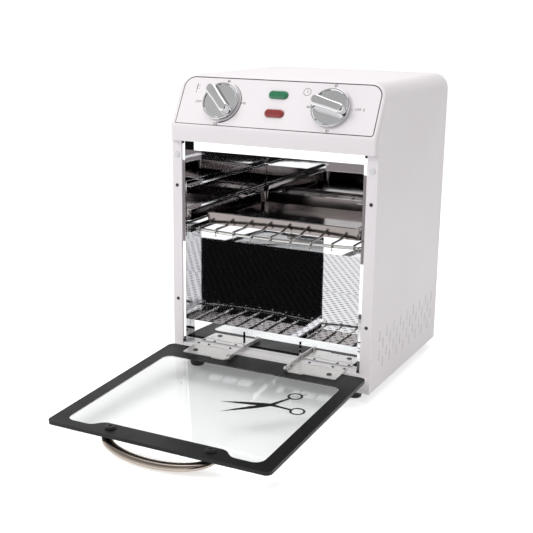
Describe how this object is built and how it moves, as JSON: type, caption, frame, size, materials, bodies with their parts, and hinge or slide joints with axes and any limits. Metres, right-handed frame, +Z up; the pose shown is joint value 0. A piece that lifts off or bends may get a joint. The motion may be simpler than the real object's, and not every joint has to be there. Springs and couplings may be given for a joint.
{
  "type": "instrument sterilizer",
  "caption": "Countertop dry-heat sterilizer: white enamelled box with a mirror-bright chamber, rack and tray, slanted control fascia and a drop-down glass door with a chrome bow handle.",
  "frame": {"origin": "on the worktop under the middle of the cabinet's footprint, the door not counted", "axes": "+Z up; the cabinet's front and the open door point along -Y; +X to the right seen from the front"},
  "size_m": [0.27, 0.5301, 0.375],
  "materials": {
    "enamel": "white stove enamel, glossy",
    "rail_enamel": "white stove enamel, glossy",
    "zinc_sheet": "plain zinc-plated sheet",
    "mirror_sheet": "mirror-polished sheet",
    "bright_steel": "bright plated steel",
    "tray_steel": "drawn stainless sheet, satin",
    "chrome": "chrome plate",
    "clear_glass": "clear tempered glass",
    "black_cap": "glossy black",
    "black_rubber": "matt black rubber",
    "fibre_pad": "matt black gasket fibre",
    "clear_bumper": "milky clear plastic",
    "red_lens": "deep red moulded lens",
    "green_lens": "deep green moulded lens",
    "lamp_holder": "black moulded plastic",
    "control_case": "dark moulded case",
    "wool": "mineral wool blanket",
    "ceramic": "unglazed ceramic",
    "sheath": "heat-darkened element sheath",
    "copper_bulb": "copper sensing bulb"
  },
  "bodies": {
    "cabinet": {"outer_shell": "enamel", "base_pan": "rail_enamel", "feet": "black_rubber", "rear_panel": "zinc_sheet", "cord_gland": "black_rubber", "chamber_liner": "mirror_sheet", "chamber_floor": "mirror_sheet", "shelf_runner_left": "mirror_sheet", "shelf_runner_right": "mirror_sheet", "wire_rack": "bright_steel", "instrument_tray": "tray_steel", "heating_elements": "sheath", "element_bushings": "ceramic", "heat_shield": "zinc_sheet", "insulation_wrap": "wool", "insulation_back": "wool", "sensing_bulb": "copper_bulb", "terminal_block": "ceramic", "door_bumpers": "clear_bumper", "hinge_base_right": "bright_steel", "hinge_base_left": "bright_steel", "hinge_pin_right": "bright_steel", "hinge_pin_left": "bright_steel", "thermostat_body": "control_case", "timer_body": "control_case", "run_lamp_lens": "green_lens", "run_lamp_body": "lamp_holder", "power_lamp_lens": "red_lens", "power_lamp_body": "lamp_holder"},
    "door": {"door_glass": "clear_glass", "door_handle": "chrome", "handle_screws": "black_cap", "hinge_leaf_right": "bright_steel", "hinge_leaf_left": "bright_steel", "leaf_pad_right": "fibre_pad", "leaf_pad_left": "fibre_pad", "leaf_screws": "bright_steel", "leaf_nuts": "bright_steel", "stay_pin_right": "bright_steel", "stay_pin_left": "bright_steel"},
    "stay_right": {"stay_right": "bright_steel"},
    "stay_left": {"stay_left": "bright_steel"},
    "temperature_knob": {"temperature_knob": "chrome", "thermostat_shaft": "bright_steel"},
    "timer_knob": {"timer_knob": "chrome", "timer_shaft": "bright_steel"}
  },
  "joints": [
    {"name": "door_hinge", "type": "hinge", "parent": "cabinet", "child": "door", "pos_m": [0, -0.1275, 0.0352], "axis": [-1, 0, 0], "range_deg": [0, 92.75]},
    {"name": "temperature_dial", "type": "hinge", "parent": "cabinet", "child": "temperature_knob", "pos_m": [-0.0714, -0.11541, 0.34488], "axis": [0, -0.8813, 0.4726], "range_deg": [-225, 45]},
    {"name": "timer_dial", "type": "hinge", "parent": "cabinet", "child": "timer_knob", "pos_m": [0.0714, -0.11541, 0.34488], "axis": [0, -0.8813, 0.4726], "range_deg": [-75, 195]},
    {"name": "stay_right_pivot", "type": "hinge", "parent": "door", "child": "stay_right", "pos_m": [0.0389, -0.15466, 0.0379], "axis": [-1, 0, 0], "range_deg": [-57, 0]},
    {"name": "stay_left_pivot", "type": "hinge", "parent": "door", "child": "stay_left", "pos_m": [-0.0389, -0.15466, 0.0379], "axis": [-1, 0, 0], "range_deg": [-57, 0]}
  ],
  "couplings": [
    {"joint": "stay_right_pivot", "follows": "door_hinge", "ratio": -0.612},
    {"joint": "stay_left_pivot", "follows": "door_hinge", "ratio": -0.612}
  ]
}
